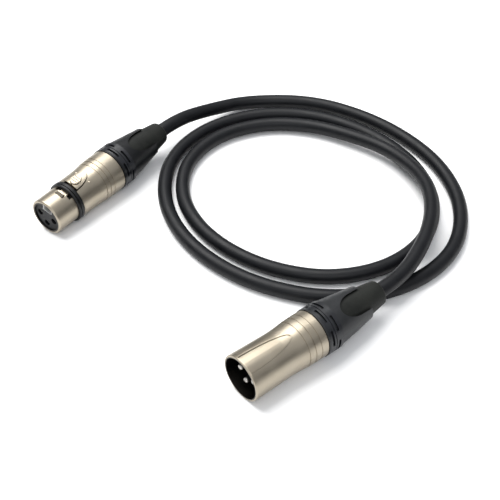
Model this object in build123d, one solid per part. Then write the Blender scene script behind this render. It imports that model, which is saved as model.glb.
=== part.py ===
from build123d import *
import os
from math import atan, cos, degrees, pi, radians, sin, tan

# A short balanced microphone cable laid down in loose turns, with a female line
# connector on one end and a male one on the other. Millimetres, +Z up. The origin
# is under the middle of the two connectors, on the surface they lie on.
#
# Each connector is modelled along +X, from its front at x = 0 back to its boot, with
# its key side at +Z, and is then laid down where it belongs.

# Cable
CABLE_R = 3.1
CABLE_INSIDE = 7.5            # jacket end, in front of the shell's rear edge
CORE_R = 0.75
DRAIN_R = 0.6
CORE_CIRCLE_R = 1.5           # where the cores leave the jacket

# Where the connectors lie, and which way their backs point
FEMALE_FRONT = (-65.0, 17.5)
FEMALE_HEADING = 52.5
MALE_FRONT = (16.0, -70.0)
MALE_HEADING = 39.0
ROLL = 11.0                   # both are turned a little on their axes

# Contacts, three on a circle, in the places that every such connector shares
CONTACT_CIRCLE_R = 3.81
CONTACT_ANGLES = {1: 90.0, 2: -90.0, 3: 180.0}   # from the key, seen from the back
PIN_R = 1.19
SOCKET_BORE_R = 1.21
SOCKET_R = 1.9
SOCKET_BORE_LEN = 11.5
SOCKET_SLIT = 0.3
SOCKET_SLIT_START = 3.0
ENTRY_LEN = 1.2               # the insert's lead-in, in front of each socket
ENTRY_GAP = 0.2
CUP_R = 1.45
CUP_BORE_R = 1.0
CUP_LEN = 4.0
CUP_WEB = 0.5                 # between the contact and the bottom of its cup
CUP_OPEN_START = 1.0
CUP_OPEN_HEIGHT = 0.4

# Female connector
NOSE_R = 8.0
NOSE_LEN = 11.0
NOSE_BORE_R = 6.5
NOSE_ROUND = 0.7
RING_LEN = 3.0
RING_R = 9.0
RING_SEAT_R = 7.6
RING_ROUND = 0.6
RING_GROOVE_X = 1.1           # splits it into a narrow ridge and a wide one
RING_GROOVE_DEPTH = 0.5
FEMALE_FRONT_R = 8.8
FEMALE_LEN = 38.0
FEMALE_FLARE = (19.0, 33.0)   # where the body widens
FEMALE_FLANGE_R = 7.2
FEMALE_FLANGE = (15.0, 19.0)
FEMALE_REAR_BORE_X = 24.0
FEMALE_GROOVES = (27.2, 29.4, 31.6)
FACE_SETBACK = 0.6
KEYWAY_WIDTH = 5.0
KEYWAY_FLOOR = 2.6
KEYWAY_LINING = 0.3
KEYWAY_LINING_LEN = 6.0
KEYWAY_LINING_SETBACK = 0.2

# Latch lever
LATCH_PIVOT = (21.5, 7.7)     # x and z of the pin
LATCH_PIN_R = 0.5
LATCH_PIN_LEN = 8.0
HOOK_X = (7.5, 9.1)
HOOK_TOP = 8.6
HOOK_WIDTH = 3.6
HOOK_RISE = 0.9               # the hook's slanted front
HOOK_RAMP = 1.0
TOOTH_WIDTH = 3.4
LEVER_BOTTOM = 6.0
LEVER_TOP = 7.2
LEVER_END_X = 22.0
BUTTON_X = 14.5
BUTTON_TIP_X = 23.2
BUTTON_HALF = 3.4
BUTTON_BOTTOM = 7.5
BUTTON_R = 9.3
BOSS_X = 17.4
BOSS_LEN = 5.6
BOSS_WIDTH = 4.2
BOSS_TOP = 9.95
BOSS_RIBS = 3
BOSS_RIB_PITCH = 1.2
BOSS_RIB_WIDTH = 0.4
BOSS_RIB_DEPTH = 0.2
BOSS_EDGE = 0.25
NECK_SETBACK = 1.5
LATCH_GAP = 0.35
WINDOW_X = (9.3, NOSE_LEN)    # crossbar of the T-shaped window behind the hook
WINDOW_WIDTH = 8.4
SPRING_X = 16.5
SPRING_R = 1.1
SPRING_WIRE_R = 0.2
SPRING_TURNS = 4

# Male connector
MOUTH_R = 9.3
MOUTH_BORE_R = 8.25
MOUTH_ROUND = 0.5
CUP_DEPTH = 12.5
WAIST_R = 8.95
WAIST_X = 17.0
MALE_LEN = 33.6
MALE_FLARE_END = 29.0
MALE_INSERT_LEN = 5.0
MALE_GROOVES = (24.6, 27.4, 30.2)
PIN_SETBACK = 2.5
PIN_TIP_ROUND = 0.7
PIN_STEM_R = 1.35             # the pin's thicker stretch inside the insert
PANEL_START = 0.6
PANEL_LEN = 21.8
PANEL_HALF = 4.2
PANEL_HEIGHT = 0.3
PANEL_RIM = 0.6
CATCH_X = (1.9, 4.1)
CATCH_WIDTH = 4.4
CATCH_R = 8.9
CLIP_LEN = 4.0
CLIP_THICKNESS = 0.3
CLIP_HALF = 2.0
CLIP_LEG_HALF = 1.0
CLIP_GAP = 0.1

# The back, the same on both connectors, measured from the shell's rear edge
SHELL_REAR_R = 9.55
REAR_ROUND = 0.3
REAR_BORE_R = 8.4
THREAD_LEN = 5.0
BAND_LEN = 7.0
BAND_R = 9.8
BAND_SEAT_R = 8.9
BAND_LIP = 0.8
SLOT_ROWS = (2.1, 5.0)
SLOTS_PER_ROW = 6
SLOT_ARC = 38.0
SLOT_WIDTH = 1.0
ROW_GROOVE_WIDTH = 0.3        # the fine line between the two rows
ROW_GROOVE_DEPTH = 0.3
CHUCK_FRONT = 6.5
CHUCK_BACK = 4.5
CHUCK_FRONT_R = 6.7
CHUCK_BACK_R = 5.3
CHUCK_SLITS = 3
CHUCK_SLIT_WIDTH = 0.8
CHUCK_SLIT_START = 2.0
CHUCK_RUNOUT = 0.3            # free length behind it in the bushing's cone
CONE_FRONT_R = 9.5            # the bushing's own cone, cut into petals
CONE_BACK_R = 7.2
PETAL_LEN = 17.0
SCALLOPS = 3
SCALLOP_START = 3.5
SCALLOP_HALF = 4.6
SCALLOP_NOSE = 8.0
SCALLOP_TURN = 16.0
SLEEVE_SEAT = 1.5             # the boot's front face, behind the band
SLEEVE_FRONT_R = 8.35
SLEEVE_MID_R = 6.3
SLEEVE_BACK_R = 4.9
SLEEVE_ROUND = 1.3
BOOT_LEN = 26.5

# Clearances and fine detail
SLIDE_GAP = 0.05              # a turning or sliding fit
SEAT_GAP = 0.02               # a seated fit
CABLE_CLEARANCE = 0.2         # round the cable, where nothing grips it
SLEEVE_GAP = 0.12             # between the rubber sleeve and the bushing's petals
GROOVE_WIDTH = 0.4
GROOVE_DEPTH = 0.16
FLARE_REACH = 0.45            # how far a flare's end tangents reach along it

# The laid cable. Its turns go clockwise round COIL_CENTRE, seen from above. Every
# eighth of a turn has its own radius, because nothing ties the turns, and every
# quarter its own lift off the surface, where the last one climbs over the others.
COIL_CENTRE = (44.0, 42.0)
COIL_START = 110.0
COIL_STEP = 24.0
COIL_STEPS = 32
EIGHTH_RADII = (71.3, 65.4, 63.1, 67.9, 68.4, 65.4, 61.0, 60.5, 59.8, 55.8, 51.9, 53.9, 57.1, 55.8,
                53.2, 51.9, 49.9, 47.0)
QUARTER_LIFTS = (0, 0, 0, 0, 0, 0, 0, 0, 0.9, 4.2)
COIL_OVAL = 4.7
COIL_OVAL_TURN = -33.0
STRAIGHT_OUT = 12.0           # how far the cable runs straight out of each boot
FEMALE_LEAD = ((1.4, 98.9, 6.4),)
MALE_LEAD = ((80.2, 69.0, 6.2), (90.5, 53.5, 7.8), (95.2, 39.0, 9.5), (95.6, 25.0, 10.4),
             (92.8, 10.3, 10.8), (86.6, -5.2, 10.8))
ARC_SHARE = 0.45              # of the shorter run, that each corner's arc takes


def turned(*corners):
    """A solid of revolution about X, from (x, radius) corners."""
    return revolve(Plane.XZ * make_face(Polyline(*corners, close=True)), Axis.X)


def rod(x_from, x_to, radius):
    """A round bar along X."""
    return turned((x_from, 0), (x_to, 0), (x_to, radius), (x_from, radius))


def sleeve(x_from, x_to, inner, outer):
    """A plain tube along X."""
    return turned((x_from, inner), (x_to, inner), (x_to, outer), (x_from, outer))


def block(x_from, x_to, y_from, y_to, z_from, z_to):
    """A box given by its faces."""
    size = (x_to - x_from, y_to - y_from, z_to - z_from)
    middle = ((x_from + x_to) / 2, (y_from + y_to) / 2, (z_from + z_to) / 2)
    return Pos(*middle) * Box(*size)


def half_oval(x_from, x_tip, half_width, z_from, z_to):
    """An upright prism whose plan is half an ellipse, wide at x_from."""
    plan = Pos(x_from, 0) * Ellipse(x_tip - x_from, half_width)
    plan &= Pos(x_from + (x_tip - x_from) / 2, 0) * Rectangle(x_tip - x_from, 2 * half_width)
    return Pos(0, 0, z_from) * extrude(plan, z_to - z_from)


def contact_place(number):
    """The y and z of a contact's axis."""
    angle = radians(CONTACT_ANGLES[number])
    return CONTACT_CIRCLE_R * sin(angle), CONTACT_CIRCLE_R * cos(angle)


def flare(x_from, r_from, x_to, r_to):
    """The outer line of a shell where it widens, tangent to X at both ends."""
    reach = (x_to - x_from) * FLARE_REACH
    return Bezier((x_from, r_from), (x_from + reach, r_from), (x_to - reach, r_to), (x_to, r_to))


def shell_blank(lines):
    """A shell's outer body from its outer line, closed along the axis."""
    start = lines[0] @ 0
    end = lines[-1] @ 1
    closing = Polyline((end.X, end.Y), (end.X, 0), (start.X, 0), (start.X, start.Y))
    outline = Curve() + [*lines, closing]
    return revolve(Plane.XZ * make_face(outline), Axis.X)


def cut_grooves(shell, stations, radius):
    """Fine turned grooves round a shell."""
    for station in stations:
        half = GROOVE_WIDTH / 2
        shell -= sleeve(station - half, station + half, radius(station) - GROOVE_DEPTH, radius(station) + 2)
    return shell


def flare_radius(x_from, r_from, x_to, r_to):
    """A close stand-in for the radius along flare()."""
    def at(x):
        share = min(max((x - x_from) / (x_to - x_from), 0), 1)
        return r_from + (r_to - r_from) * share * share * (3 - 2 * share)
    return at


def rear_fillet(shell, rear_x):
    """Breaks the sharp outer edge at the back of a shell."""
    edges = shell.edges().filter_by(GeomType.CIRCLE).filter_by_position(Axis.X, rear_x - 0.01, rear_x + 0.01)
    return fillet(edges.sort_by(SortBy.RADIUS)[-1], REAR_ROUND)


def female_shell():
    """Turned metal body: nose, ring seat, latch window, thumb recess and grooves."""
    body_x = NOSE_LEN + RING_LEN
    lines = [
        Polyline((0, NOSE_R), (NOSE_LEN, NOSE_R), (NOSE_LEN, RING_SEAT_R), (body_x, RING_SEAT_R),
                 (body_x, FEMALE_FRONT_R), (FEMALE_FLARE[0], FEMALE_FRONT_R)),
        flare(FEMALE_FLARE[0], FEMALE_FRONT_R, FEMALE_FLARE[1], SHELL_REAR_R),
        Line((FEMALE_FLARE[1], SHELL_REAR_R), (FEMALE_LEN, SHELL_REAR_R)),
    ]
    shell = shell_blank(lines)
    shell = rear_fillet(shell, FEMALE_LEN)
    front = shell.edges().filter_by(GeomType.CIRCLE).filter_by_position(Axis.X, -0.01, 0.01)
    shell = fillet(front, NOSE_ROUND)
    shell -= rod(-1, FEMALE_FLANGE[0], NOSE_BORE_R)
    shell -= rod(FEMALE_FLANGE[0], FEMALE_REAR_BORE_X, FEMALE_FLANGE_R)
    shell -= rod(FEMALE_REAR_BORE_X, FEMALE_LEN + 1, REAR_BORE_R)
    widening = flare_radius(FEMALE_FLARE[0], FEMALE_FRONT_R, FEMALE_FLARE[1], SHELL_REAR_R)
    shell = cut_grooves(shell, FEMALE_GROOVES, widening)
    half_slot = HOOK_WIDTH / 2 + LATCH_GAP
    shell -= block(HOOK_X[0] - LATCH_GAP, BUTTON_X + 1, -half_slot, half_slot, LEVER_BOTTOM - 2, RING_R + 1)
    half_window = WINDOW_WIDTH / 2
    shell -= block(WINDOW_X[0], WINDOW_X[1], -half_window, half_window, LEVER_BOTTOM - 2, RING_R)
    recess_tip = BUTTON_TIP_X + LATCH_GAP
    shell -= half_oval(body_x, recess_tip, BUTTON_HALF + LATCH_GAP, LEVER_BOTTOM - 1, BAND_R + 1)
    shell -= Pos(LATCH_PIVOT[0], 0, LATCH_PIVOT[1]) * Rot(90, 0, 0) * Cylinder(LATCH_PIN_R, LATCH_PIN_LEN)
    return shell


def female_insert():
    """Black moulding that holds the three sockets, with the keyway along its top."""
    insert = rod(FACE_SETBACK, FEMALE_FLANGE[0], NOSE_BORE_R - SEAT_GAP)
    insert += rod(FEMALE_FLANGE[0], FEMALE_FLANGE[1], FEMALE_FLANGE_R - SEAT_GAP)
    half = KEYWAY_WIDTH / 2
    insert -= block(0, FEMALE_FLANGE[1] + 1, -half, half, KEYWAY_FLOOR, NOSE_R)
    for number in CONTACT_ANGLES:
        y, z = contact_place(number)
        insert -= Pos(0, y, z) * rod(0, FACE_SETBACK + ENTRY_LEN, SOCKET_BORE_R + ENTRY_GAP)
        entry_end = FACE_SETBACK + ENTRY_LEN
        insert -= Pos(0, y, z) * rod(entry_end, FEMALE_FLANGE[1] + 1, SOCKET_R + SEAT_GAP)
    return insert


def solder_cup(start):
    """A contact's cup for its core, open along one side, behind a station."""
    end = start + CUP_LEN
    cup = rod(start, end, CUP_R) - rod(start + CUP_WEB, end + 1, CUP_BORE_R)
    return cup - block(start + CUP_OPEN_START, end + 1, -CUP_R, CUP_R, CUP_OPEN_HEIGHT, CUP_R)


def socket_contact():
    """One socket: a slit tube for the pin, and a solder cup behind."""
    start = FACE_SETBACK + ENTRY_LEN
    bore_end = start + SOCKET_BORE_LEN
    back = FEMALE_FLANGE[1] + 1
    contact = rod(start, back, SOCKET_R) - rod(start - 1, bore_end, SOCKET_BORE_R)
    half = SOCKET_SLIT / 2
    contact -= block(start + SOCKET_SLIT_START, bore_end - 1, 0, SOCKET_R + 1, -half, half)
    return contact + solder_cup(back)


def keyway_lining():
    """Bent ground strip that lines the front of the keyway."""
    half = KEYWAY_WIDTH / 2 - SEAT_GAP
    start = FACE_SETBACK + KEYWAY_LINING_SETBACK
    end = start + KEYWAY_LINING_LEN
    floor = KEYWAY_FLOOR + SEAT_GAP
    strip = block(start, end, -half, half, floor, floor + KEYWAY_LINING)
    wall_top = (NOSE_BORE_R ** 2 - half ** 2) ** 0.5 - SEAT_GAP
    for side in (-1, 1):
        inner = side * (half - KEYWAY_LINING)
        outer = side * half
        strip += block(start, end, min(inner, outer), max(inner, outer), floor, wall_top)
    return strip


def latch_lever():
    """Hook, bar and thumb button in one piece, turning on a pin near its back."""
    half = HOOK_WIDTH / 2
    lever = block(HOOK_X[0], LEVER_END_X, -half, half, LEVER_BOTTOM, LEVER_TOP)
    tooth = [(HOOK_X[0], LEVER_BOTTOM), (HOOK_X[0], HOOK_TOP - HOOK_RISE), (HOOK_X[0] + HOOK_RAMP, HOOK_TOP),
             (HOOK_X[1], HOOK_TOP), (HOOK_X[1], LEVER_BOTTOM)]
    tooth_face = Plane.XZ * make_face(Polyline(*tooth, close=True))
    lever += extrude(tooth_face, TOOTH_WIDTH / 2, both=True)
    button = half_oval(BUTTON_X, BUTTON_TIP_X, BUTTON_HALF, BUTTON_BOTTOM, BAND_R + 2)
    button &= rod(BUTTON_X - 1, BUTTON_TIP_X + 1, BUTTON_R)
    neck = block(BUTTON_X, BUTTON_TIP_X - NECK_SETBACK, -half, half, LEVER_TOP, BUTTON_BOTTOM)
    lever += button + neck
    boss_plan = Pos(BOSS_X, 0, BUTTON_BOTTOM) * Ellipse(BOSS_LEN / 2, BOSS_WIDTH / 2)
    boss = extrude(boss_plan, BOSS_TOP - BUTTON_BOTTOM)
    lever += chamfer(boss.faces().sort_by(Axis.Z)[-1].edges(), BOSS_EDGE)
    for index in range(BOSS_RIBS):
        x = BOSS_X + (index - (BOSS_RIBS - 1) / 2) * BOSS_RIB_PITCH
        rib = block(x - BOSS_RIB_WIDTH / 2, x + BOSS_RIB_WIDTH / 2, -BOSS_WIDTH, BOSS_WIDTH,
                    BOSS_TOP - BOSS_RIB_DEPTH, BOSS_TOP + 1)
        lever -= rib
    eye = Pos(LATCH_PIVOT[0], 0, LATCH_PIVOT[1]) * Rot(90, 0, 0)
    lever -= eye * Cylinder(LATCH_PIN_R + SLIDE_GAP, 2 * BUTTON_HALF)
    return lever


def latch_pin():
    """The lever's hinge pin, pressed into the shell at both ends."""
    return Pos(LATCH_PIVOT[0], 0, LATCH_PIVOT[1]) * Rot(90, 0, 0) * Cylinder(LATCH_PIN_R, LATCH_PIN_LEN)


def latch_spring():
    """Small compression spring between the insert and the lever."""
    height = LEVER_BOTTOM - KEYWAY_FLOOR - 2 * SPRING_WIRE_R - 2 * SEAT_GAP
    path = Helix(height / SPRING_TURNS, height, SPRING_R)
    section = Plane(origin=path @ 0, z_dir=path % 0) * Circle(SPRING_WIRE_R)
    coil = sweep(section, path, is_frenet=True)
    return Pos(SPRING_X, 0, KEYWAY_FLOOR + SPRING_WIRE_R + SEAT_GAP) * coil


def seal_ring():
    """Black rubber ring in its seat behind the nose."""
    ring = sleeve(NOSE_LEN, NOSE_LEN + RING_LEN, RING_SEAT_R + SEAT_GAP, RING_R)
    outer = ring.edges().filter_by(GeomType.CIRCLE).sort_by(SortBy.RADIUS)[-2:]
    groove = NOSE_LEN + RING_GROOVE_X
    half = GROOVE_WIDTH / 2
    groove_cut = sleeve(groove - half, groove + half, RING_R - RING_GROOVE_DEPTH, RING_R + 1)
    return fillet(outer, RING_ROUND) - groove_cut


def male_outer(x):
    """The male shell's outer radius at a station."""
    if x <= WAIST_X:
        return MOUTH_R + (WAIST_R - MOUTH_R) * x / WAIST_X
    return flare_radius(WAIST_X, WAIST_R, MALE_FLARE_END, SHELL_REAR_R)(x)


def male_shell():
    """Turned metal body: open mouth, raised half-oval panel, grooves and flared back."""
    lines = [
        Line((0, MOUTH_R), (WAIST_X, WAIST_R)),
        flare(WAIST_X, WAIST_R, MALE_FLARE_END, SHELL_REAR_R),
        Line((MALE_FLARE_END, SHELL_REAR_R), (MALE_LEN, SHELL_REAR_R)),
    ]
    shell = shell_blank(lines)
    shell = rear_fillet(shell, MALE_LEN)
    front = shell.edges().filter_by(GeomType.CIRCLE).filter_by_position(Axis.X, -0.01, 0.01)
    shell = fillet(front, MOUTH_ROUND)
    panel = half_oval(PANEL_START, PANEL_LEN, PANEL_HALF, 0, MOUTH_R + 1)
    panel &= turned((PANEL_START, 0), (PANEL_LEN, 0), (PANEL_LEN, male_outer(PANEL_LEN) + PANEL_HEIGHT),
                    (WAIST_X, WAIST_R + PANEL_HEIGHT), (PANEL_START, MOUTH_R + PANEL_HEIGHT))
    field = half_oval(0, PANEL_LEN - PANEL_RIM, PANEL_HALF - PANEL_RIM, 0, MOUTH_R + 1)
    field -= turned((-1, 0), (PANEL_LEN, 0), (PANEL_LEN, male_outer(PANEL_LEN)), (WAIST_X, WAIST_R),
                    (-1, MOUTH_R))
    shell += panel - field
    shell -= rod(-1, CUP_DEPTH + MALE_INSERT_LEN, MOUTH_BORE_R)
    shell -= rod(CUP_DEPTH + MALE_INSERT_LEN, MALE_LEN + 1, REAR_BORE_R)
    catch = block(CATCH_X[0], CATCH_X[1], -CATCH_WIDTH / 2, CATCH_WIDTH / 2, 0, MOUTH_R)
    shell -= catch & rod(CATCH_X[0], CATCH_X[1], CATCH_R)
    return cut_grooves(shell, MALE_GROOVES, male_outer)


def male_insert():
    """Black moulding at the bottom of the cup, which the pins pass through."""
    insert = rod(CUP_DEPTH, CUP_DEPTH + MALE_INSERT_LEN, MOUTH_BORE_R - SEAT_GAP)
    for number in CONTACT_ANGLES:
        y, z = contact_place(number)
        insert -= Pos(0, y, z) * rod(CUP_DEPTH - 1, CUP_DEPTH + MALE_INSERT_LEN + 1, PIN_STEM_R + SEAT_GAP)
    return insert


def male_pin():
    """One pin with a rounded tip, its stem in the insert and its solder cup behind."""
    back = CUP_DEPTH + MALE_INSERT_LEN + SEAT_GAP
    pin = rod(PIN_SETBACK, CUP_DEPTH, PIN_R)
    tip = pin.edges().filter_by(GeomType.CIRCLE).sort_by(Axis.X)[0]
    return fillet(tip, PIN_TIP_ROUND) + rod(CUP_DEPTH, back, PIN_STEM_R) + solder_cup(back)


def male_ground_clip():
    """Bent strip between the insert's back and the shell, beside pin 1's cup."""
    start = CUP_DEPTH + MALE_INSERT_LEN + SEAT_GAP
    arc = sleeve(start, start + CLIP_LEN, REAR_BORE_R - CLIP_THICKNESS, REAR_BORE_R - SEAT_GAP)
    arc &= block(start, start + CLIP_LEN, 0, REAR_BORE_R, -CLIP_HALF, CLIP_HALF)
    leg = block(start, start + CLIP_THICKNESS, CONTACT_CIRCLE_R + CUP_R + CLIP_GAP, REAR_BORE_R - CLIP_GAP,
                -CLIP_LEG_HALF, CLIP_LEG_HALF)
    return arc + leg


def chuck(rear_x):
    """Slit collet that grips the jacket when the bushing squeezes its cone."""
    front = rear_x - CHUCK_FRONT
    back = rear_x + CHUCK_BACK
    bore = CABLE_R + SLIDE_GAP
    collet = turned((front, bore), (back, bore), (back, CHUCK_BACK_R), (rear_x - THREAD_LEN, CHUCK_FRONT_R),
                    (front, CHUCK_FRONT_R))
    for index in range(CHUCK_SLITS):
        slit = block(front + CHUCK_SLIT_START, back + 1, -CHUCK_SLIT_WIDTH / 2, CHUCK_SLIT_WIDTH / 2, 0,
                     CHUCK_FRONT_R + 1)
        collet -= Rot(360 / CHUCK_SLITS * index, 0, 0) * slit
    return collet


def cone_radius(rear_x, x):
    """The chuck's outer radius at a station of its cone."""
    span = CHUCK_BACK + THREAD_LEN
    return CHUCK_FRONT_R + (CHUCK_BACK_R - CHUCK_FRONT_R) * (x - rear_x + THREAD_LEN) / span


def bushing(rear_x):
    """Threaded bushing: thread inside the shell, band seat outside, petals behind."""
    front = rear_x - THREAD_LEN
    band_end = rear_x + BAND_LEN
    petal_end = band_end + PETAL_LEN
    cone_end = rear_x + CHUCK_BACK + CHUCK_RUNOUT
    seat = band_end + SLEEVE_SEAT
    body = rod(front, rear_x + SEAT_GAP, REAR_BORE_R - SLIDE_GAP)
    body += rod(rear_x + SEAT_GAP, rear_x + BAND_LIP, BAND_R)
    body += rod(rear_x + BAND_LIP, band_end, BAND_SEAT_R)
    body += turned((band_end, 0), (petal_end, 0), (petal_end, CONE_BACK_R), (band_end, CONE_FRONT_R))
    body -= turned((front - 1, 0), (cone_end, 0), (cone_end, cone_radius(rear_x, cone_end) + SLIDE_GAP),
                   (front, CHUCK_FRONT_R + SLIDE_GAP), (front - 1, CHUCK_FRONT_R + SLIDE_GAP))
    body -= rod(cone_end, petal_end + 1, CABLE_R + CABLE_CLEARANCE)
    body -= turned((seat, 0), (petal_end + 1, 0), (petal_end + 1, SLEEVE_MID_R + SLEEVE_GAP),
                   (petal_end, SLEEVE_MID_R + SLEEVE_GAP), (seat, SLEEVE_FRONT_R + SLEEVE_GAP))
    for index in range(SCALLOPS):
        body -= Rot(360 / SCALLOPS * index + SCALLOP_TURN, 0, 0) * scallop_cutter(band_end)
    return body


def scallop_cutter(band_end):
    """A round-nosed cutter that parts two petals of the bushing's cone."""
    nose_x = band_end + SCALLOP_START + SCALLOP_NOSE
    plan = Pos(nose_x, 0) * Ellipse(SCALLOP_NOSE, SCALLOP_HALF)
    plan += Pos(nose_x + PETAL_LEN / 2, 0) * Rectangle(PETAL_LEN, 2 * SCALLOP_HALF)
    return Pos(0, 0, CABLE_R) * extrude(plan, CONE_FRONT_R)


def slotted_ring(rear_x):
    """Sleeve over the bushing with two staggered rows of narrow slots."""
    start = rear_x + BAND_LIP + SEAT_GAP
    end = rear_x + BAND_LEN
    ring = sleeve(start, end, BAND_SEAT_R + SEAT_GAP, BAND_R)
    row_gap = (SLOT_ROWS[0] + SLOT_ROWS[1]) / 2
    half = ROW_GROOVE_WIDTH / 2
    ring -= sleeve(rear_x + row_gap - half, rear_x + row_gap + half, BAND_R - ROW_GROOVE_DEPTH, BAND_R + 1)
    for row, station in enumerate(SLOT_ROWS):
        for index in range(SLOTS_PER_ROW):
            pitch = 360 / SLOTS_PER_ROW
            ring -= Rot(pitch * (index + row / 2), 0, 0) * slot_cutter(rear_x + station)
    return ring


def slot_cutter(station):
    """A short arc-shaped cutter through the slotted ring."""
    cutter = sleeve(station - SLOT_WIDTH / 2, station + SLOT_WIDTH / 2, BAND_SEAT_R - 1, BAND_R + 1)
    reach = BAND_R + 2
    half = radians(SLOT_ARC / 2)
    wedge = make_face(Polyline((0, 0), (reach * sin(half), reach * cos(half)),
                               (-reach * sin(half), reach * cos(half)), close=True))
    wedge = extrude(Plane.YZ * wedge, SLOT_WIDTH * 2, both=True)
    return cutter & (Pos(station, 0, 0) * wedge)


def boot(rear_x):
    """Rubber sleeve on the cable, seated in the bushing and seen between its petals."""
    seat = rear_x + BAND_LEN + SLEEVE_SEAT
    petal_end = rear_x + BAND_LEN + PETAL_LEN
    end = boot_end(rear_x)
    body = turned((seat, 0), (end, 0), (end, SLEEVE_BACK_R), (petal_end, SLEEVE_MID_R),
                  (seat, SLEEVE_FRONT_R))
    rim = body.edges().filter_by(GeomType.CIRCLE).filter_by_position(Axis.X, end - 0.01, end + 0.01)
    return fillet(rim, SLEEVE_ROUND) - rod(seat - 1, end + 1, CABLE_R + SLIDE_GAP)


def boot_end(rear_x):
    """The station where the cable leaves the boot."""
    return rear_x + BAND_LEN + BOOT_LEN


def lead_wire(x_from, x_to, place, radius):
    """A core from its place in the cable's end out to its solder cup."""
    y, z = place
    inner = CORE_CIRCLE_R / CONTACT_CIRCLE_R
    turn_in = (x_to - x_from) / 4
    points = [(x_from, y, z), (x_from + turn_in, y, z), (x_to - turn_in, y * inner, z * inner),
              (x_to, y * inner, z * inner)]
    path = FilletPolyline(*points, radius=turn_in / 2)
    return sweep(Plane(origin=points[0], z_dir=(1, 0, 0)) * Circle(radius), path)


def rear_pieces(rear_x):
    """The pieces behind a shell, by their plain names."""
    return {
        "chuck": chuck(rear_x),
        "bushing": bushing(rear_x),
        "slotted_ring": slotted_ring(rear_x),
        "boot": boot(rear_x),
        "cable_end": rod(rear_x - CABLE_INSIDE, boot_end(rear_x), CABLE_R),
    }


def wiring(cup_end, rear_x):
    """Two cores and the shield tail, from the jacket's end to the cups."""
    jacket_end = rear_x - CABLE_INSIDE
    return {
        "shield_tail": lead_wire(cup_end, jacket_end, contact_place(1), DRAIN_R),
        "core_hot": lead_wire(cup_end, jacket_end, contact_place(2), CORE_R),
        "core_cold": lead_wire(cup_end, jacket_end, contact_place(3), CORE_R),
    }


def female_pieces():
    """Everything in the female connector, along X."""
    pieces = {
        "shell": female_shell(),
        "insert": female_insert(),
        "keyway_lining": keyway_lining(),
        "latch_lever": latch_lever(),
        "latch_pin": latch_pin(),
        "latch_spring": latch_spring(),
        "seal_ring": seal_ring(),
    }
    for number in CONTACT_ANGLES:
        y, z = contact_place(number)
        pieces[f"socket_{number}"] = Pos(0, y, z) * socket_contact()
    pieces.update(wiring(FEMALE_FLANGE[1] + 1 + CUP_LEN, FEMALE_LEN))
    pieces.update(rear_pieces(FEMALE_LEN))
    return pieces


def male_pieces():
    """Everything in the male connector, along X."""
    pieces = {"shell": male_shell(), "insert": male_insert(), "ground_clip": male_ground_clip()}
    for number in CONTACT_ANGLES:
        y, z = contact_place(number)
        pieces[f"pin_{number}"] = Pos(0, y, z) * male_pin()
    pieces.update(wiring(CUP_DEPTH + MALE_INSERT_LEN + SEAT_GAP + CUP_LEN, MALE_LEN))
    pieces.update(rear_pieces(MALE_LEN))
    return pieces


def lying(front, heading, front_r, front_x, back_r, back_x):
    """Where a connector lies: on two round parts of unlike radius, so a little tilted."""
    tilt = degrees(atan((back_r - front_r) / (back_x - front_x)))
    height = front_r / cos(radians(tilt)) - front_x * tan(radians(tilt))
    return Pos(*front, height) * Rot(0, 0, heading) * Rot(0, -tilt, 0) * Rot(ROLL, 0, 0)


FEMALE_PLACE = lying(FEMALE_FRONT, FEMALE_HEADING, RING_R, NOSE_LEN + RING_ROUND, BAND_R, FEMALE_LEN)
MALE_PLACE = lying(MALE_FRONT, MALE_HEADING, MOUTH_R, MOUTH_ROUND, BAND_R, MALE_LEN)


def on_axis(place, x):
    """A point on a laid connector's axis."""
    return (place * Pos(x, 0, 0)).position


def step_value(values, steps):
    """A value that runs evenly from one step's figure to the next."""
    share = min(max(steps, 0), len(values) - 1)
    index = min(int(share), len(values) - 2)
    return values[index] + (values[index + 1] - values[index]) * (share - index)


def coil_points():
    """The loose turns, clockwise from the far left to the near right."""
    points = []
    for step in range(COIL_STEPS + 1):
        angle = COIL_START - COIL_STEP * step
        radius = step_value(EIGHTH_RADII, (90 - angle) / 45)
        radius += COIL_OVAL * cos(radians(2 * (angle - COIL_OVAL_TURN)))
        height = CABLE_R + step_value(QUARTER_LIFTS, (90 - angle) / 90)
        x = COIL_CENTRE[0] + radius * cos(radians(angle))
        y = COIL_CENTRE[1] + radius * sin(radians(angle))
        points.append(Vector(x, y, height))
    return points


def cable_route():
    """The free cable's route, from the end of the female's boot to the end of the male's."""
    female_exit = boot_end(FEMALE_LEN)
    male_exit = boot_end(MALE_LEN)
    route = [on_axis(FEMALE_PLACE, female_exit), on_axis(FEMALE_PLACE, female_exit + STRAIGHT_OUT)]
    route += [Vector(*point) for point in FEMALE_LEAD]
    route += coil_points()
    route += [Vector(*point) for point in MALE_LEAD]
    route += [on_axis(MALE_PLACE, male_exit + STRAIGHT_OUT), on_axis(MALE_PLACE, male_exit)]
    return route


def bend_radii(route):
    """The largest arc that each corner's two runs allow."""
    radii = []
    for before, corner, after in zip(route, route[1:], route[2:]):
        run = min((corner - before).length, (after - corner).length)
        turn = radians((corner - before).get_angle(after - corner))
        radii.append(ARC_SHARE * run / tan(turn / 2))
    return radii


def cable():
    """The free cable as one tube, from boot to boot."""
    route = cable_route()
    radii = bend_radii(route)
    print("bend radii", [round(radius, 1) for radius in radii])
    path = FilletPolyline(*route, radius=radii)
    start = Plane(origin=route[0], z_dir=route[1] - route[0])
    tube = sweep(start * Circle(CABLE_R), path)
    expected = pi * CABLE_R ** 2 * path.length
    print("cable length", round(path.length, 1), "volume share", round(tube.volume / expected, 4))
    return tube


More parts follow.
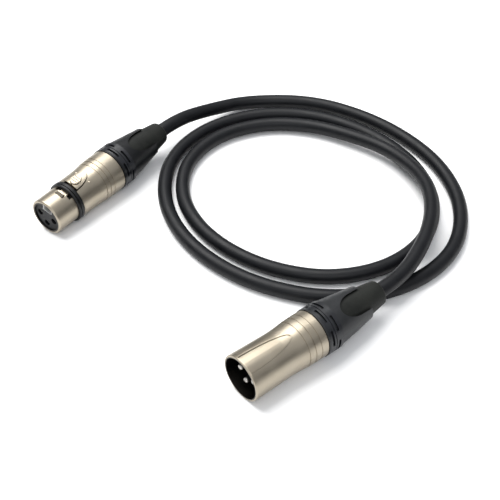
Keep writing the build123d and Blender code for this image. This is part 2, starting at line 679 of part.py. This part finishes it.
def build():
    """Every node by name, laid where it belongs."""
    nodes = {"female_" + name: FEMALE_PLACE * piece for name, piece in female_pieces().items()}
    nodes.update({"male_" + name: MALE_PLACE * piece for name, piece in male_pieces().items()})
    nodes["cable_jacket"] = cable()
    return nodes


os.makedirs("parts", exist_ok=True)
for node, shape in build().items():
    export_step(shape, f"parts/{node}.step")
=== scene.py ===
import math

import bpy
from mathutils import Matrix, Vector


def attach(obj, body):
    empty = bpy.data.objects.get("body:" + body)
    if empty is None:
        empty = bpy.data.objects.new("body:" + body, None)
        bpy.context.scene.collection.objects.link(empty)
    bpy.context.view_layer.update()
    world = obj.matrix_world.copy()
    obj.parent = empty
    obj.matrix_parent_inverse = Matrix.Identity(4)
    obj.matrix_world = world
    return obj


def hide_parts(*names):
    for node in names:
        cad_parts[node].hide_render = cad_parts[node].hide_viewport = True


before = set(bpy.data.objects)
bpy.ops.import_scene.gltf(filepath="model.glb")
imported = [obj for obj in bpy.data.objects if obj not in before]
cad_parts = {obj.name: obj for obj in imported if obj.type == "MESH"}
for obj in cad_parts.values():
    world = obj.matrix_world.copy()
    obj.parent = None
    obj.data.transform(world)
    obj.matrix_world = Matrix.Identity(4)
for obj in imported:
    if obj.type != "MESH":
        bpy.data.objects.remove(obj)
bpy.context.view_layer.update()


# ---------------------------------------------------------------- camera, table and light
# The cable lies on a plain white table. The camera stands over its near side and looks
# down at it, and a wide soft light hangs above and behind.

scene = bpy.context.scene
scene.view_settings.view_transform = "Standard"

camera_data = bpy.data.cameras.new("camera")
camera_data.lens = 74.2
camera_data.sensor_width = 36
camera = bpy.data.objects.new("camera", camera_data)
camera.location = (0.0194, -0.306, 0.287)
camera.rotation_euler = (math.radians(47.48), 0, 0)
scene.collection.objects.link(camera)
scene.camera = camera


def studio_light(name, place, aim, width, length, watts, colour):
    """A soft rectangular lamp that hangs at a place and faces a point."""
    lamp = bpy.data.lights.new(name, "AREA")
    lamp.shape = "RECTANGLE"
    lamp.size = width
    lamp.size_y = length
    lamp.energy = watts
    lamp.color = colour
    holder = bpy.data.objects.new(name, lamp)
    holder.location = place
    holder.rotation_euler = (Vector(aim) - Vector(place)).to_track_quat("-Z", "Y").to_euler()
    scene.collection.objects.link(holder)
    return holder


table_middle = (0.02, 0.02, 0)
studio_light("overhead_softbox", (-0.28, 0.34, 0.95), table_middle, 0.9, 0.9, 17.0, (1.0, 0.995, 0.98))
studio_light("front_fill", (0.10, -0.75, 0.75), table_middle, 0.7, 0.5, 3.0, (0.97, 0.985, 1.0))

# The room is pale overhead and much darker towards the horizon, which gives the round
# plated shells their dark upper edges.
world = bpy.data.worlds.new("studio")
scene.world = world
world.use_nodes = True
sky = world.node_tree
sky_direction = sky.nodes.new("ShaderNodeTexCoord")
sky_split = sky.nodes.new("ShaderNodeSeparateXYZ")
sky_rise = sky.nodes.new("ShaderNodeMapRange")
sky_rise.interpolation_type = "SMOOTHSTEP"
for label, figure in (("From Min", 0.05), ("From Max", 0.75), ("To Min", 0.05), ("To Max", 0.75)):
    sky_rise.inputs[label].default_value = figure
sky.nodes["Background"].inputs["Color"].default_value = (0.94, 0.96, 1.0, 1)
sky.links.new(sky_direction.outputs["Generated"], sky_split.inputs["Vector"])
sky.links.new(sky_split.outputs["Z"], sky_rise.inputs["Value"])
sky.links.new(sky_rise.outputs["Result"], sky.nodes["Background"].inputs["Strength"])

TABLE_SIZE = 3.0
table_mesh = bpy.data.meshes.new("table_top")
half = TABLE_SIZE / 2
table_corners = [(-half, -half, 0), (half, -half, 0), (half, half, 0), (-half, half, 0)]
table_mesh.from_pydata(table_corners, [], [(0, 1, 2, 3)])
table = bpy.data.objects.new("table_top", table_mesh)
scene.collection.objects.link(table)
table_white = bpy.data.materials.new("table_white")
table_white.use_nodes = True
table_shader = table_white.node_tree.nodes["Principled BSDF"]
table_shader.inputs["Base Color"].default_value = (0.93, 0.93, 0.93, 1)
table_shader.inputs["Roughness"].default_value = 0.75
table_shader.inputs["Specular IOR Level"].default_value = 0.2
table_mesh.materials.append(table_white)


# ---------------------------------------------------------------- where the connectors lie
# Each connector has an axis that runs from its front, at x = 0, back to its boot. Both
# rest on round parts of unlike radius, so they tip up a little towards the cable.

def connector_place(front, height, heading, tilt, roll):
    """The matrix from a connector's own axes to the table's, in metres."""
    turn = Matrix.Rotation(math.radians(heading), 4, "Z")
    tip = Matrix.Rotation(math.radians(-tilt), 4, "Y")
    spin = Matrix.Rotation(math.radians(roll), 4, "X")
    return Matrix.Translation((front[0], front[1], height)) @ turn @ tip @ spin


FEMALE_FRONT = (-0.065, 0.0175)
FEMALE_HEIGHT = 0.0086526
FEMALE_HEADING = 52.5
FEMALE_TILT = 1.7357
MALE_FRONT = (0.016, -0.070)
MALE_HEIGHT = 0.0092935
MALE_HEADING = 39.0
MALE_TILT = 0.8654
CONNECTOR_ROLL = 11.0
female_place = connector_place(FEMALE_FRONT, FEMALE_HEIGHT, FEMALE_HEADING, FEMALE_TILT, CONNECTOR_ROLL)
male_place = connector_place(MALE_FRONT, MALE_HEIGHT, MALE_HEADING, MALE_TILT, CONNECTOR_ROLL)
places = {"female": female_place, "male": male_place}


# ---------------------------------------------------------------- cable
# One length of soft black PVC-jacketed microphone cable, 6.2 mm thick. It is extruded,
# so its skin is smooth with a faint matte grain, and it lies in loose turns by its weight.

CABLE_DIAMETER = 0.0062
FEMALE_EXIT = 0.0715
MALE_EXIT = 0.0671
STRAIGHT_OUT = 0.012
COIL_CENTRE = (0.044, 0.042)
COIL_START = 110.0
COIL_STEP = 24.0
COIL_STEPS = 32
EIGHTH_RADII = (0.0713, 0.0654, 0.0631, 0.0679, 0.0684, 0.0654, 0.0610, 0.0605, 0.0598,
                0.0558, 0.0519, 0.0539, 0.0571, 0.0558, 0.0532, 0.0519, 0.0499, 0.0470)
QUARTER_LIFTS = (0, 0, 0, 0, 0, 0, 0, 0, 0.0009, 0.0042)
COIL_OVAL = 0.0047
COIL_OVAL_TURN = -33.0
FEMALE_LEAD = ((0.0014, 0.0989, 0.0064),)
MALE_LEAD = ((0.0802, 0.0690, 0.0062), (0.0905, 0.0535, 0.0078), (0.0952, 0.0390, 0.0095),
             (0.0956, 0.0250, 0.0104), (0.0928, 0.0103, 0.0108), (0.0866, -0.0052, 0.0108))


def step_value(values, steps):
    """A value that runs evenly from one step's figure to the next."""
    share = min(max(steps, 0), len(values) - 1)
    index = min(int(share), len(values) - 2)
    return values[index] + (values[index + 1] - values[index]) * (share - index)


def coil_points():
    """The loose turns, clockwise from the far left to the near right."""
    points = []
    for step in range(COIL_STEPS + 1):
        angle = COIL_START - COIL_STEP * step
        radius = step_value(EIGHTH_RADII, (90 - angle) / 45)
        radius += COIL_OVAL * math.cos(math.radians(2 * (angle - COIL_OVAL_TURN)))
        height = CABLE_DIAMETER / 2 + step_value(QUARTER_LIFTS, (90 - angle) / 90)
        x = COIL_CENTRE[0] + radius * math.cos(math.radians(angle))
        y = COIL_CENTRE[1] + radius * math.sin(math.radians(angle))
        points.append(Vector((x, y, height)))
    return points


cable_exit = female_place @ Vector((FEMALE_EXIT, 0, 0))
cable_route = [cable_exit, female_place @ Vector((FEMALE_EXIT + STRAIGHT_OUT, 0, 0))]
cable_route += [Vector(point) for point in FEMALE_LEAD]
cable_route += coil_points()
cable_route += [Vector(point) for point in MALE_LEAD]
cable_route += [male_place @ Vector((MALE_EXIT + STRAIGHT_OUT, 0, 0))]
cable_route += [male_place @ Vector((MALE_EXIT, 0, 0))]

cable_curve = bpy.data.curves.new("cable", "CURVE")
cable_curve.dimensions = "3D"
cable_curve.bevel_depth = 1.0
cable_curve.bevel_resolution = 6
cable_curve.resolution_u = 12
cable_curve.use_fill_caps = True
spline = cable_curve.splines.new("NURBS")
spline.points.add(len(cable_route) - 1)
for place, point in zip(cable_route, spline.points):
    point.co = (*place, 1)
    point.radius = CABLE_DIAMETER / 2
spline.order_u = 3
spline.use_endpoint_u = True
cable = bpy.data.objects.new("cable", cable_curve)
scene.collection.objects.link(cable)
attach(cable, "root")
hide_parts("cable_jacket")


def effect_group(name, inputs, outputs):
    """A shader group that takes a point and some values, and puts out values."""
    group = bpy.data.node_groups.new(name, "ShaderNodeTree")
    group.interface.new_socket("Point", in_out="INPUT", socket_type="NodeSocketVector")
    for label, value in inputs.items():
        entry = group.interface.new_socket(label, in_out="INPUT", socket_type="NodeSocketFloat")
        entry.default_value = value
    for label in outputs:
        group.interface.new_socket(label, in_out="OUTPUT", socket_type="NodeSocketFloat")
    return group, group.nodes.new("NodeGroupInput"), group.nodes.new("NodeGroupOutput")


def wire(tree, *pairs):
    """Joins output sockets to input sockets."""
    for source, target in pairs:
        tree.links.new(source, target)


def noise_in(tree, point, scale, detail=2.0, roughness=0.5):
    """A noise texture on a point, with its scale in turns per metre."""
    noise = tree.nodes.new("ShaderNodeTexNoise")
    noise.inputs["Scale"].default_value = scale
    noise.inputs["Detail"].default_value = detail
    noise.inputs["Roughness"].default_value = roughness
    tree.links.new(point, noise.inputs["Vector"])
    return noise


def ramp_in(tree, value, low, high, to_low=0.0, to_high=1.0):
    """Maps a value from one range to another, held at both ends."""
    ramp = tree.nodes.new("ShaderNodeMapRange")
    for label, figure in (("From Min", low), ("From Max", high), ("To Min", to_low), ("To Max", to_high)):
        ramp.inputs[label].default_value = figure
    tree.links.new(value, ramp.inputs["Value"])
    return ramp.outputs["Result"]


moulded_grain, grain_in, grain_out = effect_group(
    "moulded_grain", {"Grain Scale": 3000.0}, ("Height", "Mottle"))
grain = noise_in(moulded_grain, grain_in.outputs["Point"], 3000.0, 3.0, 0.6)
mottle = noise_in(moulded_grain, grain_in.outputs["Point"], 160.0, 3.0)
wire(moulded_grain,
     (grain_in.outputs["Grain Scale"], grain.inputs["Scale"]),
     (grain.outputs["Fac"], grain_out.inputs["Height"]),
     (ramp_in(moulded_grain, mottle.outputs["Fac"], 0.35, 0.65), grain_out.inputs["Mottle"]))


def mix_colours(tree, factor, first, second):
    """A colour between two others, by a value."""
    mix = tree.nodes.new("ShaderNodeMix")
    mix.data_type = "RGBA"
    tree.links.new(factor, mix.inputs["Factor"])
    mix.inputs[6].default_value = (*first, 1)
    mix.inputs[7].default_value = (*second, 1)
    return mix.outputs[2]


def moulded_material(name, colour, mottled, roughness, grain_scale, grain_depth, gloss=0.35):
    """Matte moulded or extruded plastic, with a fine grain and a slight mottle."""
    material = bpy.data.materials.new(name)
    material.use_nodes = True
    tree = material.node_tree
    shader = tree.nodes["Principled BSDF"]
    point = tree.nodes.new("ShaderNodeTexCoord").outputs["Object"]
    effect = tree.nodes.new("ShaderNodeGroup")
    effect.node_tree = moulded_grain
    effect.inputs["Grain Scale"].default_value = grain_scale
    bump = tree.nodes.new("ShaderNodeBump")
    bump.inputs["Distance"].default_value = grain_depth
    bump.inputs["Strength"].default_value = 0.6
    shader.inputs["Specular IOR Level"].default_value = gloss
    skin_colour = mix_colours(tree, effect.outputs["Mottle"], colour, mottled)
    skin_roughness = ramp_in(tree, effect.outputs["Mottle"], 0, 1, roughness - 0.04, roughness + 0.05)
    wire(tree,
         (point, effect.inputs["Point"]),
         (effect.outputs["Height"], bump.inputs["Height"]),
         (bump.outputs["Normal"], shader.inputs["Normal"]),
         (skin_colour, shader.inputs["Base Color"]),
         (skin_roughness, shader.inputs["Roughness"]))
    return material


JACKET_BLACK = (0.0025, 0.003, 0.0042)
JACKET_MOTTLED = (0.004, 0.0045, 0.006)
JACKET_FINISH = {"roughness": 0.46, "grain_scale": 2200.0, "grain_depth": 0.00006, "gloss": 0.24}
cable_curve.materials.append(
    moulded_material("cable_jacket", JACKET_BLACK, JACKET_MOTTLED, **JACKET_FINISH))


def finish_node(name, material):
    """Gives a CAD node its material and smooth shading between its real edges."""
    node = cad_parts[name]
    node.data.materials.clear()
    node.data.materials.append(material)
    node.data.polygons.foreach_set("use_smooth", [True] * len(node.data.polygons))
    return node


cable_end_skin = moulded_material("cable_end_skin", JACKET_BLACK, JACKET_MOTTLED, **JACKET_FINISH)
for side in places:
    finish_node(side + "_cable_end", cable_end_skin)


# ---------------------------------------------------------------- shells
# Zinc bodies, turned and cast, with a warm satin nickel plate. The blasted finish under
# the plate gives a fine even grain, and the lathe leaves faint rings round the axis.

RING_FLATTENING = 0.02
RING_SHARE = 0.35
satin_plate, plate_in, plate_out = effect_group(
    "satin_plate", {"Bore Radius": 0.0}, ("Height", "Tint", "Smudge", "Inside"))
blast = noise_in(satin_plate, plate_in.outputs["Point"], 6500.0, 2.0, 0.7)
flatten = satin_plate.nodes.new("ShaderNodeVectorMath")
flatten.operation = "MULTIPLY"
flatten.inputs[1].default_value = (1.0, RING_FLATTENING, RING_FLATTENING)
rings = noise_in(satin_plate, flatten.outputs["Vector"], 5200.0, 3.0, 0.7)
height = satin_plate.nodes.new("ShaderNodeMath")
height.operation = "MULTIPLY_ADD"
height.inputs[1].default_value = RING_SHARE
# across, radius and inside make a mask of the points within the bore radius, where painted shade darkens the
# colour.
across = satin_plate.nodes.new("ShaderNodeVectorMath")
across.operation = "MULTIPLY"
across.inputs[1].default_value = (0.0, 1.0, 1.0)
radius = satin_plate.nodes.new("ShaderNodeVectorMath")
radius.operation = "LENGTH"
inside = satin_plate.nodes.new("ShaderNodeMath")
inside.operation = "LESS_THAN"
smudge = noise_in(satin_plate, plate_in.outputs["Point"], 190.0, 4.0, 0.55)
tint = noise_in(satin_plate, plate_in.outputs["Point"], 90.0, 2.0)
wire(satin_plate,
     (plate_in.outputs["Point"], flatten.inputs[0]),
     (plate_in.outputs["Point"], across.inputs[0]),
     (across.outputs["Vector"], radius.inputs[0]),
     (radius.outputs["Value"], inside.inputs[0]),
     (plate_in.outputs["Bore Radius"], inside.inputs[1]),
     (inside.outputs["Value"], plate_out.inputs["Inside"]),
     (rings.outputs["Fac"], height.inputs[0]),
     (blast.outputs["Fac"], height.inputs[2]),
     (height.outputs["Value"], plate_out.inputs["Height"]),
     (ramp_in(satin_plate, tint.outputs["Fac"], 0.3, 0.7), plate_out.inputs["Tint"]),
     (ramp_in(satin_plate, smudge.outputs["Fac"], 0.4, 0.7), plate_out.inputs["Smudge"]))


# Painted shade for the deep bores of the shells.
BORE_SHADE = (0.035, 0.032, 0.028, 1)


def metal_material(name, place, colour, tinted, roughness, grain_depth, bore_radius=0.0):
    """Plated metal on a connector, with its grain laid along the connector's own axis.

    Within bore_radius of the axis the base colour is darkened to BORE_SHADE: painted shade in the deep bore.
    """
    material = bpy.data.materials.new(name)
    material.use_nodes = True
    tree = material.node_tree
    shader = tree.nodes["Principled BSDF"]
    shader.inputs["Metallic"].default_value = 1.0
    point = tree.nodes.new("ShaderNodeTexCoord").outputs["Object"]
    along = tree.nodes.new("ShaderNodeMapping")
    along.vector_type = "TEXTURE"
    along.inputs["Location"].default_value = place.to_translation()
    along.inputs["Rotation"].default_value = place.to_euler()
    effect = tree.nodes.new("ShaderNodeGroup")
    effect.node_tree = satin_plate
    effect.inputs["Bore Radius"].default_value = bore_radius
    plated = mix_colours(tree, effect.outputs["Tint"], colour, tinted)
    # Painted shade: within the bore radius the plated colour gives way to BORE_SHADE.
    darkened = tree.nodes.new("ShaderNodeMix")
    darkened.data_type = "RGBA"
    darkened.inputs[7].default_value = BORE_SHADE
    bump = tree.nodes.new("ShaderNodeBump")
    bump.inputs["Distance"].default_value = grain_depth
    bump.inputs["Strength"].default_value = 0.5
    smudged = ramp_in(tree, effect.outputs["Smudge"], 0, 1, roughness, roughness + 0.07)
    wire(tree,
         (point, along.inputs["Vector"]),
         (along.outputs["Vector"], effect.inputs["Point"]),
         (effect.outputs["Height"], bump.inputs["Height"]),
         (bump.outputs["Normal"], shader.inputs["Normal"]),
         (effect.outputs["Inside"], darkened.inputs["Factor"]),
         (plated, darkened.inputs[6]),
         (darkened.outputs[2], shader.inputs["Base Color"]),
         (smudged, shader.inputs["Roughness"]))
    return material


NICKEL = (0.34, 0.297, 0.230)
NICKEL_TINTED = (0.38, 0.337, 0.268)
# Painted shade: inside each shell's mouth, out to these radii from the axis, the colour is darkened to
# BORE_SHADE.
BORE_SHADE_RADII = {"female": 0.0071, "male": 0.0086}
for side, bore in BORE_SHADE_RADII.items():
    plate = metal_material(side + "_satin_nickel", places[side], NICKEL, NICKEL_TINTED, 0.36, 0.000016, bore)
    finish_node(side + "_shell", plate)


# ---------------------------------------------------------------- latch
# The lever is a stamping with the shell's plate, rubbed smoother by thumbs. The pin it
# turns on is pressed across the shell, so its ends wear the same plate.

lever_plate = metal_material("lever_nickel", female_place, NICKEL, NICKEL_TINTED, 0.30, 0.000010)
finish_node("female_latch_lever", lever_plate)
finish_node("female_latch_pin", lever_plate)


# ---------------------------------------------------------------- small steel pieces
# The latch spring is drawn steel wire, and the male's ground clip is bent from bright
# spring strip. The keyway's strip is matt-plated, so it shows pale in the dark mouth.

STEEL = (0.63, 0.63, 0.62)
STEEL_TINTED = (0.70, 0.70, 0.69)
for side, piece in (("female", "latch_spring"), ("male", "ground_clip")):
    steel = metal_material(side + "_bright_steel", places[side], STEEL, STEEL_TINTED, 0.30, 0.000006)
    finish_node(f"{side}_{piece}", steel)

LINING = (0.86, 0.85, 0.83)
LINING_TINTED = (0.92, 0.91, 0.90)
lining_plate = metal_material("lining_plate", female_place, LINING, LINING_TINTED, 0.55, 0.000010)
finish_node("female_keyway_lining", lining_plate)


# ---------------------------------------------------------------- contacts
# Turned brass pins and sockets with a thin bright silver plate, pressed into the inserts.

SILVER = (0.50, 0.48, 0.44)
SILVER_TINTED = (0.58, 0.56, 0.52)
for side, contact in (("female", "socket"), ("male", "pin")):
    silver = metal_material(side + "_silver_plate", places[side], SILVER, SILVER_TINTED, 0.26, 0.000005)
    for number in (1, 2, 3):
        finish_node(f"{side}_{contact}_{number}", silver)


# ---------------------------------------------------------------- inserts
# Glass-filled nylon mouldings, black, with a dry slightly rough skin.

INSERT_BLACK = (0.004, 0.004, 0.0045)
INSERT_MOTTLED = (0.006, 0.006, 0.0065)
insert_nylon = moulded_material("insert_black", INSERT_BLACK, INSERT_MOTTLED, 0.52, 2600.0, 0.00004, 0.22)
for side in places:
    finish_node(side + "_insert", insert_nylon)


# ---------------------------------------------------------------- rubber ring
# A soft black ring, stretched over the nose into its seat at the front of the body. It
# softens the joint when two connectors are pushed together.

RUBBER_BLACK = (0.004, 0.004, 0.0045)
RUBBER_MOTTLED = (0.006, 0.006, 0.0065)
ring_rubber = moulded_material("ring_rubber", RUBBER_BLACK, RUBBER_MOTTLED, 0.40, 1800.0, 0.00003, 0.3)
finish_node("female_seal_ring", ring_rubber)


# ---------------------------------------------------------------- bushings and slotted rings
# Glass-filled nylon bushing, whose back is a cone cut into three petals, with a satin
# blue-black slotted ring snapped over it and a grey chuck inside. The male's bushing is
# a shade lighter.

RING_BLACK = (0.006, 0.007, 0.009)
RING_MOTTLED = (0.009, 0.010, 0.013)
CHUCK_GREY = (0.09, 0.09, 0.095)
CHUCK_MOTTLED = (0.11, 0.11, 0.115)
ring_plastic = moulded_material("slotted_ring_plastic", RING_BLACK, RING_MOTTLED, 0.34, 2400.0, 0.00003, 0.4)
chuck_plastic = moulded_material("chuck_acetal", CHUCK_GREY, CHUCK_MOTTLED, 0.40, 2000.0, 0.00003)
BUSHING_SHADES = {"female": ((0.003, 0.0035, 0.0042), (0.0045, 0.005, 0.006)),
                  "male": ((0.014, 0.015, 0.016), (0.019, 0.020, 0.022))}
for side, (dark, light) in BUSHING_SHADES.items():
    bushing_nylon = moulded_material(side + "_bushing_plastic", dark, light, 0.42, 2800.0, 0.00004, 0.28)
    finish_node(side + "_bushing", bushing_nylon)
    finish_node(side + "_slotted_ring", ring_plastic)
    finish_node(side + "_chuck", chuck_plastic)


# ---------------------------------------------------------------- boots
# Soft rubber sleeves, seen between the petals of each bushing and behind them. Their
# skin is dull, with a coarse spark-eroded texture and a slightly olive tone.

BOOT_OLIVE = (0.006, 0.0068, 0.0058)
BOOT_MOTTLED = (0.012, 0.013, 0.011)
boot_rubber = moulded_material("boot_rubber", BOOT_OLIVE, BOOT_MOTTLED, 0.60, 1400.0, 0.00012, 0.22)
for side in places:
    finish_node(side + "_boot", boot_rubber)


# ---------------------------------------------------------------- wires inside
# Two stranded cores in coloured insulation and the twisted bare shield, soldered to
# the cups of the contacts.

COPPER = (0.70, 0.40, 0.26)
COPPER_TINTED = (0.78, 0.48, 0.32)
core_red = moulded_material("core_red", (0.42, 0.03, 0.03), (0.47, 0.04, 0.04), 0.35, 1500.0, 0.00002)
core_white = moulded_material("core_white", (0.72, 0.72, 0.70), (0.78, 0.78, 0.76), 0.35, 1500.0, 0.00002)
for side, place in places.items():
    copper = metal_material(side + "_bare_copper", place, COPPER, COPPER_TINTED, 0.30, 0.00001)
    finish_node(side + "_core_hot", core_red)
    finish_node(side + "_core_cold", core_white)
    finish_node(side + "_shield_tail", copper)
